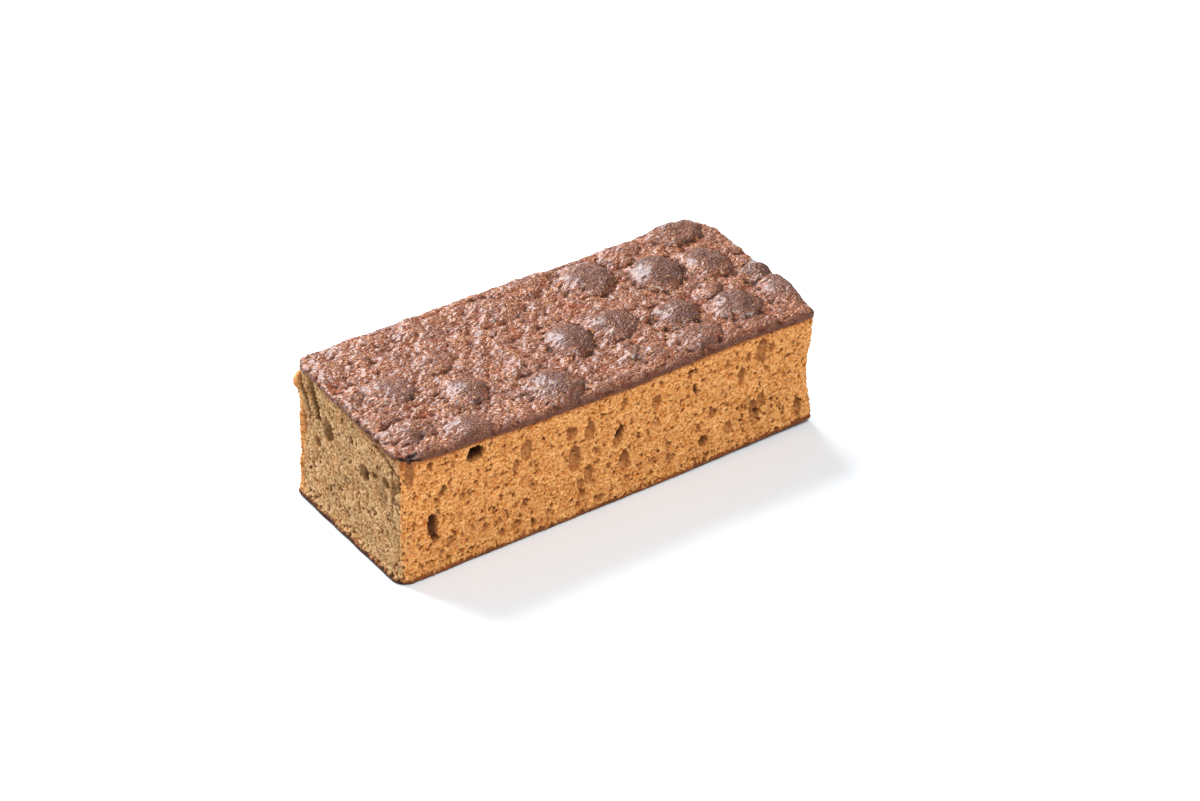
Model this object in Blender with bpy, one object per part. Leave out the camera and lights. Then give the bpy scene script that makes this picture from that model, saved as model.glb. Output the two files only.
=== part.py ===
"""A honey cake: one oblong block of spiced cake, cut from a baked slab.

The top is a browned crust with blisters, whose edge rolls a few millimetres down each face. The four
faces are cut crumb with air holes, most of them taller than wide because the batter rose. The thin
base crust is flat where the cake rests, and lifts a little towards its right end and corners.

X runs along the cake, Y across it from the front face to the back face, and Z up. The origin is on the
table, under the middle of the block's outline. Sizes are named below in millimetres, from the middle of
the plain block, and used in metres.
"""

import math
import random

import bmesh
import bpy
from mathutils import Vector, noise

MM = 0.001

# Driving sizes of the block, in millimetres.
LENGTH = 200.0
DEPTH = 80.0
HEIGHT = 63.0

# Height of the crust between its blisters, at stations along X, for the front and the back edge.
FRONT_HEIGHTS = ((-100, 62.3), (-70, 60.8), (-30, 58.8), (10, 57.8), (60, 58.8), (100, 57.2))
BACK_HEIGHTS = ((-100, 65.0), (-50, 64.2), (-10, 63.8), (10, 62.8), (45, 61.6), (70, 61.8), (100, 60.2))

# How the edges are finished.
LIP_RADIUS = 3.2
LIP_BAND = 1.2
LIP_PROUD = 0.5
BASE_ROUND = 0.8
RIGHT_END_LIFT = 1.9
RIGHT_LIFT_START = 30.0
BASE_RIM = 9.0
BASE_RIM_LIFT = 0.5
BASE_FLARE = 1.9
BASE_FLARE_HEIGHT = 6.0

# Each cut face pulls in between crust and base: how deep, and at what height it is deepest.
WAIST_FRONT = (0.8, 30.0)
WAIST_BACK = (3.4, 38.0)
WAIST_LEFT = (0.4, 30.0)
WAIST_RIGHT = (2.6, 24.0)

# Corner radii in plan, keyed by the side signs of X and Y: at the crust, halfway down, and at the base.
CORNER_RADII = {
    (-1, -1): (7.0, 1.5, 7.0),
    (1, -1): (2.5, 0.8, 2.0),
    (-1, 1): (8.0, 0.8, 4.0),
    (1, 1): (13.0, 3.0, 6.0),
}

# Blisters of the crust: middle along X, middle along Y, radius along X, radius along Y, rise.
BLISTERS = (
    (-80, 1, 11, 10, 2.8),
    (-54, -14, 10, 10, 3.2),
    (-88, -26, 12, 7, 2.4),
    (-66, -35, 10, 8, 2.8),
    (-21, -29, 12, 12, 3.6),
    (-54, 9, 9, 7, 1.8),
    (-97, 3, 7, 6, 1.4),
    (-95, -14, 8, 5, 1.4),
    (-95, 25, 8, 9, 1.4),
    (-25, -11, 8, 6, 1.6),
    (-14, 25, 13, 9, 1.6),
    (-48, 32, 12, 9, 1.2),
    (-74, 33, 13, 10, 1.2),
    (1, -7, 10, 11, 4.4),
    (22, -6, 11, 11, 3.4),
    (31, 24, 12, 12, 4.0),
    (57, 13, 11, 13, 5.0),
    (79, 9, 11, 12, 3.6),
    (81, 34, 13, 9, 3.0),
    (53, 33, 10, 8, 1.6),
    (70, -8, 6, 5, 2.0),
    (73, -22, 11, 10, 4.0),
    (48, -15, 10, 10, 4.0),
    (46, -31, 13, 8, 2.8),
    (27, -31, 9, 8, 1.6),
    (94, -7, 8, 7, 4.2),
    (98, -22, 11, 11, 4.0),
    (18, -25, 6, 5, 2.0),
    (37, -8, 4, 5, 1.6),
    (8, 35, 12, 9, 1.4),
)
CRUST_WRINKLE = 0.55
CRUST_WRINKLE_SPAN = 7.0
CRUMB_RAGGED = 0.35
CRUMB_RAGGED_SPAN = 9.0

# Air holes on the front face: place along X, height, half width, half height, depth.
FRONT_HOLES = (
    (-65, 51, 4.3, 4.0, 6.5),
    (-85.5, 22.5, 2.3, 6.8, 5.5),
    (-81, 39, 1.7, 2.5, 3.5),
    (-96, 53, 2.2, 6.5, 1.8),
    (-86.5, 54, 1.5, 2.2, 2.0),
    (-41, 43, 2.6, 5.2, 1.8),
    (-46, 37, 1.7, 3.4, 1.3),
    (-72, 32.5, 1.8, 1.9, 1.2),
    (-77.5, 14, 1.8, 2.6, 1.2),
    (-42.5, 17.5, 1.6, 2.2, 1.5),
    (-54, 8, 1.6, 2.8, 1.5),
    (-39, 6.5, 1.2, 2.4, 2.5),
    (-19.5, 42, 2.6, 3.5, 2.0),
    (-10.5, 40, 2.7, 5.2, 2.0),
    (-18, 29, 3.0, 6.6, 2.2),
    (-11.5, 19, 2.3, 4.8, 1.8),
    (-15.5, 11, 1.9, 2.4, 1.8),
    (3.5, 32.5, 2.7, 3.8, 5.5),
    (5.8, 47.5, 1.5, 2.5, 1.6),
    (6.5, 19, 2.4, 5.2, 2.4),
    (22, 41.5, 2.3, 3.4, 1.5),
    (28, 10, 1.4, 3.2, 1.6),
    (39.8, 48.5, 1.9, 2.8, 4.0),
    (41.6, 39.5, 1.2, 3.2, 4.5),
    (45.5, 13, 2.6, 3.2, 3.0),
    (51, 24, 2.1, 2.5, 1.4),
    (58, 14.5, 2.1, 3.4, 1.5),
    (65, 37, 1.8, 4.6, 2.0),
    (74.5, 46.5, 3.1, 5.6, 2.2),
    (68, 45, 1.5, 2.6, 1.3),
    (72, 15, 2.3, 6.6, 3.0),
    (76, 21, 1.6, 4.0, 1.8),
    (93, 10.5, 1.8, 5.0, 2.2),
)

# Air holes on the left end: place along Y, height, half width, half height, depth.
LEFT_HOLES = (
    (26, 56, 2.0, 7.5, 2.6),
    (32, 52, 1.8, 5.5, 2.2),
    (17, 43.5, 4.2, 5.5, 2.6),
    (26, 34, 2.6, 3.2, 2.0),
    (-2, 50, 1.8, 2.7, 1.8),
    (-12, 40, 4.2, 3.8, 3.2),
    (-27, 42, 3.0, 2.8, 1.8),
    (-35.5, 48, 2.4, 4.5, 2.8),
    (-33, 40, 1.7, 3.2, 1.6),
    (16, 15.5, 1.9, 2.2, 1.8),
    (-6, 20, 1.3, 2.3, 1.5),
    (-19, 23.5, 1.6, 1.8, 1.4),
)

# Air holes on the two faces turned away are drawn at random, of the same kinds.
HOLE_SEED = 7
BACK_HOLE_COUNT = 16
RIGHT_HOLE_COUNT = 6
HOLE_GAP = 9.0
HOLE_HALF_WIDTHS = (1.5, 2.9)
HOLE_TALLER = (1.2, 2.4)
HOLE_DEPTHS = (1.4, 3.6)
HOLE_EDGE_MARGIN = 9.0
HOLE_SEGMENTS = 8
HOLE_RINGS = 5

# Mesh divisions of the block.
CUTS_LONG = 51
CUTS_DEEP = 21
CUTS_HIGH = 7
END_CROWDING = 0.5

CAKE_NAME = "honey_cake"


def smoothstep(low, high, value):
    """0 below low, 1 above high, and an S-shaped ramp between them."""
    t = min(max((value - low) / (high - low), 0.0), 1.0)
    return t * t * (3.0 - 2.0 * t)


def blend(a, b, t):
    return a + (b - a) * t


def lumps(x, y, z, span, channel):
    """Smooth noise between about -1 and 1, whose lumps are span millimetres across."""
    return noise.noise(Vector((x / span, y / span + 31.7 * channel, z / span)))


def along_stations(stations, x):
    """Reads a height between the stations it is given at, with no kink at any of them."""
    for (low_x, low), (high_x, high) in zip(stations, stations[1:]):
        if x <= high_x:
            return blend(low, high, smoothstep(low_x, high_x, x))
    return stations[-1][1]


def crown_height(x, y):
    """Height of the crust between its blisters: highest along the back, sinking to the front right."""
    across = (y + DEPTH / 2) / DEPTH
    return blend(along_stations(FRONT_HEIGHTS, x), along_stations(BACK_HEIGHTS, x), across)


def blister_height(x, y):
    """The tallest blister over this place, as a rounded cap with a crease at its foot."""
    tallest = 0.0
    for middle_x, middle_y, radius_x, radius_y, rise in BLISTERS:
        reach = ((x - middle_x) / radius_x) ** 2 + ((y - middle_y) / radius_y) ** 2
        if reach < 1.0:
            tallest = max(tallest, rise * (1.0 - reach) ** 0.8)
    return tallest


def crust_height(x, y):
    wrinkle = CRUST_WRINKLE * lumps(x, y, 0.0, CRUST_WRINKLE_SPAN, 1)
    return crown_height(x, y) + blister_height(x, y) + wrinkle


def base_height(x, y):
    """Underside above the table: a flat oblong, from which the rim and the right end rise."""
    along = max(x - RIGHT_LIFT_START, 0.0) / (LENGTH / 2 - RIGHT_LIFT_START)
    outward = max(abs(x) - LENGTH / 2, abs(y) - DEPTH / 2) / BASE_RIM + 1.0
    outward = min(max(outward, 0.0), 1.0)
    return RIGHT_END_LIFT * along**0.9 + BASE_RIM_LIFT * (1.0 - (1.0 - outward) ** 2)


def waist(side, height):
    """How far this side's face is drawn in at this height: none at the base and none at the crust."""
    depth, middle = side
    if height < middle:
        share = height / middle
    else:
        share = (HEIGHT - height) / (HEIGHT - middle)
    return depth * smoothstep(0.0, 1.0, share)


def half_sizes(x, y, height):
    """Half length and half depth of the quarter that x and y point to, at this height."""
    half_x = LENGTH / 2 - waist(WAIST_RIGHT if x > 0 else WAIST_LEFT, height)
    half_y = DEPTH / 2 - waist(WAIST_BACK if y > 0 else WAIST_FRONT, height)
    flared = 1.0 - smoothstep(0.0, BASE_FLARE_HEIGHT, height)
    half_x += BASE_FLARE * flared * (1.0 - smoothstep(-1.0, -0.6, x))
    return half_x, half_y


def corner_radius(x, y, height):
    """Plan radius of the nearest corner: small at half height, larger at the crust and at the base."""
    at_crust, halfway, at_base = CORNER_RADII[(1 if x > 0 else -1, 1 if y > 0 else -1)]
    upper = smoothstep(0.86 * HEIGHT, 0.97 * HEIGHT, height)
    lower = 1.0 - smoothstep(0.0, 0.16 * HEIGHT, height)
    return halfway + (at_crust - halfway) * upper + (at_base - halfway) * lower


def rounded_plan(x, y, half_x, half_y, radius):
    """Moves a point of the rectangle half_x by half_y into the same rectangle with round corners."""
    over_x = abs(x) - (half_x - radius)
    over_y = abs(y) - (half_y - radius)
    if over_x <= 0.0 or over_y <= 0.0:
        return x, y
    shrink = max(over_x, over_y) / math.hypot(over_x, over_y)
    new_x = half_x - radius + over_x * shrink
    new_y = half_y - radius + over_y * shrink
    return math.copysign(new_x, x), math.copysign(new_y, y)


def edge_distance(x, y, half_x, half_y, radius):
    """How far inside the rounded outline a plan point lies."""
    over_x = abs(x) - (half_x - radius)
    over_y = abs(y) - (half_y - radius)
    outside = math.hypot(max(over_x, 0.0), max(over_y, 0.0))
    return radius - outside - min(max(over_x, over_y), 0.0)


def crowd_ends(t):
    """Spreads -1..1 so that the divisions lie closer together towards both ends."""
    return blend(t, math.sin(t * math.pi / 2), END_CROWDING)


def place_on_top(x, y):
    """Crust: the grid point's height, rolled down over the lip near the edge."""
    half_x = LENGTH / 2 + LIP_PROUD
    half_y = DEPTH / 2 + LIP_PROUD
    radius = corner_radius(x, y, HEIGHT)
    x, y = rounded_plan(x * half_x, y * half_y, half_x, half_y, radius)
    inside = min(max(edge_distance(x, y, half_x, half_y, radius), 0.0), LIP_RADIUS)
    drop = LIP_RADIUS - math.sqrt(LIP_RADIUS**2 - (LIP_RADIUS - inside) ** 2)
    return Vector((x, y, crust_height(x, y) - drop))


def place_on_base(x, y):
    """Underside, drawn in a little so that the lowest edge is round."""
    half_x, half_y = half_sizes(x, y, 0.0)
    half_x -= BASE_ROUND
    half_y -= BASE_ROUND
    radius = corner_radius(x, y, 0.0)
    x, y = rounded_plan(x * half_x, y * half_y, half_x, half_y, radius)
    return Vector((x, y, base_height(x, y)))


def place_on_face(x, y, share):
    """A cut face, from the rounded base edge at share 0 to the foot of the lip at share 1."""
    edge_x = x * LENGTH / 2
    edge_y = y * DEPTH / 2
    top = crust_height(edge_x, edge_y) - LIP_RADIUS - LIP_BAND
    bottom = base_height(edge_x, edge_y) + BASE_ROUND
    height = blend(bottom, top, share)
    half_x, half_y = half_sizes(x, y, height)
    ragged = CRUMB_RAGGED * lumps(edge_x, edge_y, height, CRUMB_RAGGED_SPAN, 2)
    half_x += ragged
    half_y += ragged
    radius = corner_radius(x, y, height)
    x, y = rounded_plan(x * half_x, y * half_y, half_x, half_y, radius)
    return Vector((x, y, height))


def cut_across(mesh, axis, cuts):
    """Divides every edge that runs along one axis into cuts + 1 equal parts."""
    along = [
        edge
        for edge in mesh.edges
        if abs((edge.verts[0].co - edge.verts[1].co)[axis]) > 0.5 * (edge.calc_length())
    ]
    bmesh.ops.subdivide_edges(mesh, edges=along, cuts=cuts, use_grid_fill=True)


def standing_place(data):
    """Where the block's object goes, so that the middle of its outline is over the origin."""
    low = [min(v.co[axis] for v in data.vertices) for axis in range(3)]
    high = [max(v.co[axis] for v in data.vertices) for axis in range(3)]
    return -Vector(((low[0] + high[0]) / 2, (low[1] + high[1]) / 2, low[2]))


def block_mesh():
    """The whole block: a cube, divided, with each vertex placed on crust, base or cut face."""
    mesh = bmesh.new()
    bmesh.ops.create_cube(mesh, size=2.0)
    cut_across(mesh, 0, CUTS_LONG)
    cut_across(mesh, 1, CUTS_DEEP)
    cut_across(mesh, 2, CUTS_HIGH)
    for vertex in mesh.verts:
        x = crowd_ends(vertex.co.x)
        y = crowd_ends(vertex.co.y)
        row = round((vertex.co.z + 1.0) / 2.0 * (CUTS_HIGH + 1))
        if row == CUTS_HIGH + 1:
            place = place_on_top(x, y)
        elif row == 0:
            place = place_on_base(x, y)
        else:
            place = place_on_face(x, y, (row - 1) / (CUTS_HIGH - 1))
        vertex.co = place * MM
    bmesh.ops.dissolve_limit(
        mesh,
        angle_limit=math.radians(0.05),
        verts=[v for v in mesh.verts if v.co.z < 1e-7],
        edges=[e for e in mesh.edges if max(v.co.z for v in e.verts) < 1e-7],
    )
    bmesh.ops.triangulate(mesh, faces=mesh.faces[:])
    bmesh.ops.recalc_face_normals(mesh, faces=mesh.faces[:])
    data = bpy.data.meshes.new(CAKE_NAME)
    mesh.to_mesh(data)
    mesh.free()
    return data


def random_holes(chance, count, half_span):
    """Air holes for an unseen face, kept apart from each other: place, height, half sizes and depth."""
    holes = []
    top = HEIGHT - HOLE_EDGE_MARGIN - LIP_RADIUS
    while len(holes) < count:
        place = chance.uniform(HOLE_EDGE_MARGIN - half_span, half_span - HOLE_EDGE_MARGIN)
        height = chance.uniform(HOLE_EDGE_MARGIN, top)
        half_width = chance.uniform(*HOLE_HALF_WIDTHS)
        if any(math.hypot(place - h[0], height - h[1]) < HOLE_GAP for h in holes):
            continue
        half_height = half_width * chance.uniform(*HOLE_TALLER)
        holes.append((place, height, half_width, half_height, chance.uniform(*HOLE_DEPTHS)))
    return holes


def hole_cutter(name, middle, half_sizes):
    """An ellipsoid that hollows out one air hole."""
    mesh = bmesh.new()
    bmesh.ops.create_uvsphere(mesh, u_segments=HOLE_SEGMENTS, v_segments=HOLE_RINGS, radius=1.0)
    bmesh.ops.scale(mesh, vec=Vector(half_sizes) * MM, verts=mesh.verts)
    bmesh.ops.translate(mesh, vec=Vector(middle) * MM, verts=mesh.verts)
    data = bpy.data.meshes.new(name)
    mesh.to_mesh(data)
    mesh.free()
    return bpy.data.objects.new(name, data)


def hole_cutters():
    """Every air hole of the four faces, each centred on its face."""
    chance = random.Random(HOLE_SEED)
    back = random_holes(chance, BACK_HOLE_COUNT, LENGTH / 2)
    right = random_holes(chance, RIGHT_HOLE_COUNT, DEPTH / 2)
    cutters = []
    for side, holes in ((-1, FRONT_HOLES), (1, back)):
        for place, height, half_width, half_height, depth in holes:
            face = side * half_sizes(place, side, height)[1]
            cutters.append(
                hole_cutter("air_hole", (place, face, height), (half_width, depth, half_height))
            )
    for side, holes in ((-1, LEFT_HOLES), (1, right)):
        for place, height, half_width, half_height, depth in holes:
            face = side * half_sizes(side, place, height)[0]
            cutters.append(
                hole_cutter("air_hole", (face, place, height), (depth, half_width, half_height))
            )
    return cutters


def cake_material():
    """Baked crumb: the block's own colour, as one plain finish."""
    material = bpy.data.materials.new("honey_cake_crumb")
    material.use_nodes = True
    shader = material.node_tree.nodes["Principled BSDF"]
    shader.inputs["Base Color"].default_value = (0.52, 0.26, 0.09, 1.0)
    shader.inputs["Roughness"].default_value = 0.8
    shader.inputs["Metallic"].default_value = 0.0
    return material


def new_collection(name):
    collection = bpy.data.collections.new(name)
    bpy.context.scene.collection.children.link(collection)
    return collection


def main():
    for stale in list(bpy.data.objects):
        bpy.data.objects.remove(stale)

    cake_parts = new_collection("honey_cake_parts")
    cake = bpy.data.objects.new(CAKE_NAME, block_mesh())
    cake.location = standing_place(cake.data)
    cake.data.materials.append(cake_material())
    cake_parts.objects.link(cake)

    cutters = new_collection("air_hole_cutters")
    for cutter in hole_cutters():
        cutter.location = cake.location
        cutter.hide_render = True
        cutter.display_type = "WIRE"
        cutters.objects.link(cutter)

    air_holes = cake.modifiers.new("air_holes", "BOOLEAN")
    air_holes.operation = "DIFFERENCE"
    air_holes.operand_type = "COLLECTION"
    air_holes.collection = cutters


main()
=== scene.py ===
# %% [markdown]
# # Honey cake
# A honey cake is baked as one slab and cut into oblong blocks. What shows is three surfaces: a browned,
# blistered crust on top, cut crumb full of air holes on the four sides, and a thin dark crust underneath.
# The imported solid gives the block's form. The cells below model each surface again at the scale of its
# pores and wrinkles, in the same place, and then paint them.

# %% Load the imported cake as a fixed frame
import math
import random

import bmesh
import bpy
import numpy as np
from mathutils import Matrix, Vector, noise


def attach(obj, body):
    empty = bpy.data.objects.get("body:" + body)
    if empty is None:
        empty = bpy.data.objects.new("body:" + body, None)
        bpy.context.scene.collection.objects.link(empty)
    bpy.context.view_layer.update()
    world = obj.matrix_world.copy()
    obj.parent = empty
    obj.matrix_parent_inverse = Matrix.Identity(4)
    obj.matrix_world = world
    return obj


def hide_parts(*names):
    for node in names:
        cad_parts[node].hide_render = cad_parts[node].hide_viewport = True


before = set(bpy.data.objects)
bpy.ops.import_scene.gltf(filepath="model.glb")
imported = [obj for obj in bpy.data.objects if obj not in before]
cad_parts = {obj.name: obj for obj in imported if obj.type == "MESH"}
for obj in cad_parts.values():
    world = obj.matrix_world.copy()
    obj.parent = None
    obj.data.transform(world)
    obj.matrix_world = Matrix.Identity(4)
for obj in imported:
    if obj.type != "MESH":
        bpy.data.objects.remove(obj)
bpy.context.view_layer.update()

# %% [markdown]
# ## The block's form
# The surfaces have to lie where the solid's do, so the block is described by the same driving sizes: its
# length, depth and height, the crust's height at stations along both edges, how far each cut face draws in
# at half height, and the radius of each corner. Sizes are in millimetres, from the middle of the block.

# %% Driving sizes of the block
MM = 0.001
LENGTH = 200.0
DEPTH = 80.0
HEIGHT = 63.0
OUTLINE_SHIFT = 0.66  # the left end flares, so the block's middle is this far right of its outline's

FRONT_HEIGHTS = ((-100, 62.3), (-70, 60.8), (-30, 58.8), (10, 57.8), (60, 58.8), (100, 57.2))
BACK_HEIGHTS = ((-100, 65.0), (-50, 64.2), (-10, 63.8), (10, 62.8), (45, 61.6), (70, 61.8), (100, 60.2))

LIP_RADIUS = 3.2
LIP_PROUD = 0.5
BASE_ROUND = 0.8
RIGHT_END_LIFT = 1.9
RIGHT_LIFT_START = 30.0
BASE_RIM = 9.0
BASE_RIM_LIFT = 0.5
BASE_FLARE = 1.9
BASE_FLARE_HEIGHT = 6.0

WAIST_FRONT = (0.8, 30.0)
WAIST_BACK = (3.4, 38.0)
WAIST_LEFT = (0.4, 30.0)
WAIST_RIGHT = (2.6, 24.0)

# Corner radii in plan, keyed by the side signs of X and Y: at the crust, halfway down, and at the base.
CORNER_RADII = {
    (-1, -1): (7.0, 1.5, 7.0),
    (1, -1): (3.6, 0.8, 2.0),
    (-1, 1): (8.0, 0.8, 4.0),
    (1, 1): (13.0, 3.0, 6.0),
}
# Shares of the height between which a corner grows rounder towards the crust, and up to which the base's
# rounding reaches. The back right corner, the roundest at the crust, starts lower down than the others.
CORNER_ROUNDED_FROM = 0.86
BACK_RIGHT_ROUNDED_FROM = 0.62
CORNER_ROUNDED_BY = 0.97
BASE_ROUNDED_TO = 0.16

# Blisters of the crust: middle along X, middle along Y, radius along X, radius along Y, rise.
BLISTERS = (
    (-80, 1, 11, 10, 2.8), (-54, -14, 10, 10, 3.2), (-88, -26, 12, 7, 2.4), (-66, -35, 10, 8, 2.8),
    (-21, -29, 12, 12, 3.6), (-54, 9, 9, 7, 1.8), (-97, 3, 7, 6, 1.4), (-95, -14, 8, 5, 1.4),
    (-95, 25, 8, 9, 1.4), (-25, -11, 8, 6, 1.6), (-14, 25, 13, 9, 1.6), (-48, 32, 12, 9, 1.2),
    (-74, 33, 13, 10, 1.2), (1, -7, 10, 11, 4.4), (22, -6, 11, 11, 3.4), (31, 24, 12, 12, 4.0),
    (57, 13, 11, 13, 5.0), (79, 9, 11, 12, 3.6), (81, 34, 13, 9, 3.0), (53, 33, 10, 8, 1.6),
    (70, -8, 6, 5, 2.0), (73, -22, 11, 10, 4.0), (48, -15, 10, 10, 4.0), (46, -31, 13, 8, 2.8),
    (27, -31, 9, 8, 1.6), (94, -7, 8, 7, 4.2), (98, -22, 11, 11, 4.0), (18, -25, 6, 5, 2.0),
    (37, -8, 4, 5, 1.6), (8, 35, 12, 9, 1.4),
)
CRUST_WRINKLE = 0.55
CRUST_WRINKLE_SPAN = 7.0
CRUMB_RAGGED = 0.35
CRUMB_RAGGED_SPAN = 9.0
print("blisters on the crust:", len(BLISTERS))

# %% [markdown]
# ## Numbers that vary over a surface
# Every surface below is a fine grid, so the form is worked out for all of its points at once with arrays.
# `lumps` is smooth noise: seen up close, baked food is noise at many sizes, from dents the width of a
# finger down to grains of sugar.


# %% Blending and noise
CHANNEL_STEP = 31.7  # each channel reads the noise this many lumps away from the one before it


def smoothstep(low, high, value):
    """0 below low, 1 above high, and an S-shaped ramp between them."""
    t = np.clip((value - low) / (high - low), 0.0, 1.0)
    return t * t * (3.0 - 2.0 * t)


def blend(a, b, t):
    return a + (b - a) * t


def lumps(x, y, z, span, channel):
    """Smooth noise between about -1 and 1, whose lumps are span millimetres across."""
    x, y, z = np.broadcast_arrays(x, y, z)
    places = np.stack((x / span, y / span + CHANNEL_STEP * channel, z / span), axis=-1)
    values = [noise.noise(place) for place in places.reshape(-1, 3).tolist()]
    return np.array(values).reshape(x.shape)


def layered(x, y, z, *layers):
    """A sum of lumps of several sizes. Each layer has its height, its span and its channel."""
    return sum(height * lumps(x, y, z, span, channel) for height, span, channel in layers)


def cells(x, y, span, channel):
    """0 along the borders of irregular cells about span millimetres wide, growing towards their middles."""
    places = np.stack((x / span, y / span + CHANNEL_STEP * channel, np.full_like(x, 0.5)), axis=-1)
    values = []
    for place in places.reshape(-1, 3).tolist():
        distances = noise.voronoi(place)[0]
        values.append(distances[1] - distances[0])
    return np.array(values).reshape(x.shape)


# %% Heights of the crust and of the base
def along_stations(stations, x):
    """Reads a height between the stations it is given at, with no kink at any of them."""
    height = np.full_like(x, stations[0][1])
    for (low_x, low), (high_x, high) in zip(stations, stations[1:]):
        height = np.where(x > low_x, blend(low, high, smoothstep(low_x, high_x, x)), height)
    return height


def crown_height(x, y):
    """Height of the crust between its blisters: highest along the back, sinking to the front right."""
    across = (y + DEPTH / 2) / DEPTH
    return blend(along_stations(FRONT_HEIGHTS, x), along_stations(BACK_HEIGHTS, x), across)


def blister_height(x, y):
    """The tallest blister over each place, as a rounded cap with a crease at its foot."""
    tallest = np.zeros_like(x)
    for middle_x, middle_y, radius_x, radius_y, rise in BLISTERS:
        reach = ((x - middle_x) / radius_x) ** 2 + ((y - middle_y) / radius_y) ** 2
        tallest = np.maximum(tallest, rise * np.clip(1.0 - reach, 0.0, 1.0) ** 0.8)
    return tallest


def base_height(x, y):
    """Underside above the table: a flat oblong, from which the rim and the right end rise."""
    along = np.maximum(x - RIGHT_LIFT_START, 0.0) / (LENGTH / 2 - RIGHT_LIFT_START)
    outward = np.maximum(np.abs(x) - LENGTH / 2, np.abs(y) - DEPTH / 2) / BASE_RIM + 1.0
    outward = np.clip(outward, 0.0, 1.0)
    return RIGHT_END_LIFT * along**0.9 + BASE_RIM_LIFT * (1.0 - (1.0 - outward) ** 2)


# %% Outline of the block at any height
def waist(side, height):
    """How far this side's face is drawn in at this height: none at the base and none at the crust."""
    depth, middle = side
    share = np.where(height < middle, height / middle, (HEIGHT - height) / (HEIGHT - middle))
    return depth * smoothstep(0.0, 1.0, share)


def half_sizes(x, y, height):
    """Half length and half depth of the quarter that x and y point to, at this height."""
    half_x = LENGTH / 2 - np.where(x > 0, waist(WAIST_RIGHT, height), waist(WAIST_LEFT, height))
    half_y = DEPTH / 2 - np.where(y > 0, waist(WAIST_BACK, height), waist(WAIST_FRONT, height))
    flared = 1.0 - smoothstep(0.0, BASE_FLARE_HEIGHT, height)
    half_x = half_x + BASE_FLARE * flared * (1.0 - smoothstep(-1.0, -0.6, x))
    return half_x, half_y


def corner_radius(x, y, height):
    """Plan radius of the nearest corner: small at half height, larger at the crust and at the base."""
    rounded_from = np.where((x > 0) & (y > 0), BACK_RIGHT_ROUNDED_FROM, CORNER_ROUNDED_FROM)
    upper = smoothstep(rounded_from * HEIGHT, CORNER_ROUNDED_BY * HEIGHT, height)
    lower = 1.0 - smoothstep(0.0, BASE_ROUNDED_TO * HEIGHT, height)
    radius = np.zeros(np.broadcast(x, y, height).shape)
    for (side_x, side_y), (at_crust, halfway, at_base) in CORNER_RADII.items():
        here = (x * side_x >= 0) & (y * side_y >= 0)
        value = halfway + (at_crust - halfway) * upper + (at_base - halfway) * lower
        radius = np.where(here, value, radius)
    return radius


def rounded_plan(x, y, half_x, half_y, radius):
    """Moves points of the rectangle into the same rectangle with round corners, and gives their outward
    direction: square to the nearest side, or away from the corner's own centre."""
    over_x = np.abs(x) - (half_x - radius)
    over_y = np.abs(y) - (half_y - radius)
    corner = (over_x > 0.0) & (over_y > 0.0)
    reach = np.where(corner, np.hypot(over_x, over_y), 1.0)
    shrink = np.where(corner, np.maximum(over_x, over_y) / reach, 1.0)
    new_x = np.where(corner, np.sign(x) * (half_x - radius + over_x * shrink), x)
    new_y = np.where(corner, np.sign(y) * (half_y - radius + over_y * shrink), y)
    side = over_x - over_y > 0.0
    out_x = np.sign(x) * np.where(corner, over_x / reach, np.where(side, 1.0, 0.0))
    out_y = np.sign(y) * np.where(corner, over_y / reach, np.where(side, 0.0, 1.0))
    return new_x, new_y, out_x, out_y


def edge_distance(x, y, half_x, half_y, radius):
    """How far inside the rounded outline a plan point lies."""
    over_x = np.abs(x) - (half_x - radius)
    over_y = np.abs(y) - (half_y - radius)
    outside = np.hypot(np.maximum(over_x, 0.0), np.maximum(over_y, 0.0))
    return radius - outside - np.minimum(np.maximum(over_x, over_y), 0.0)


# %% [markdown]
# ## From a grid to a closed piece
# A surface starts as a flat bmesh grid. Its points are moved to their places on the cake, its border is
# extruded inwards, and the far side is filled, so that each piece is a closed solid with nothing hollow
# showing at a seam. A UV map laid along the grid lets the finish be baked without breaking it up.


# %% Build one piece from a placed grid
ROOT = "root"
CAKE_NODE = "honey_cake"
HIDDEN_STRIP = 0.95  # the visible side takes this share of the UV map, and the hidden sides the rest


def grid_mesh(columns, rows):
    """A flat grid as a mesh, and the column and row that each of its vertices stands at."""
    mesh = bmesh.new()
    bmesh.ops.create_grid(mesh, x_segments=columns, y_segments=rows, size=1.0)
    data = bpy.data.meshes.new("grid")
    mesh.to_mesh(data)
    mesh.free()
    flat = np.empty(len(data.vertices) * 3)
    data.vertices.foreach_get("co", flat)
    flat = flat.reshape(-1, 3)
    column = np.rint((flat[:, 0] + 1.0) / 2.0 * columns).astype(int)
    row = np.rint((flat[:, 1] + 1.0) / 2.0 * rows).astype(int)
    return data, column, row


def write_uv(data, visible_faces, u, v):
    """Lays the visible side out by its grid, and the hidden sides in a strip of their own."""
    corner_vertex = np.empty(len(data.loops), int)
    data.loops.foreach_get("vertex_index", corner_vertex)
    face_start = np.empty(len(data.polygons), int)
    data.polygons.foreach_get("loop_start", face_start)
    first_hidden = face_start[visible_faces]
    u_of = np.resize(u, len(data.vertices))
    v_of = np.resize(v, len(data.vertices))
    u_of[len(u):] = 0.5
    v_of[len(v):] = 1.0
    corner_u = u_of[corner_vertex]
    corner_v = v_of[corner_vertex] * HIDDEN_STRIP
    corner_v[first_hidden:] = HIDDEN_STRIP + 0.01 + 0.04 * v_of[corner_vertex[first_hidden:]]
    layer = data.uv_layers.new(name="OFBake")
    layer.data.foreach_set("uv", np.stack((corner_u, corner_v), axis=-1).ravel())


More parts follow.
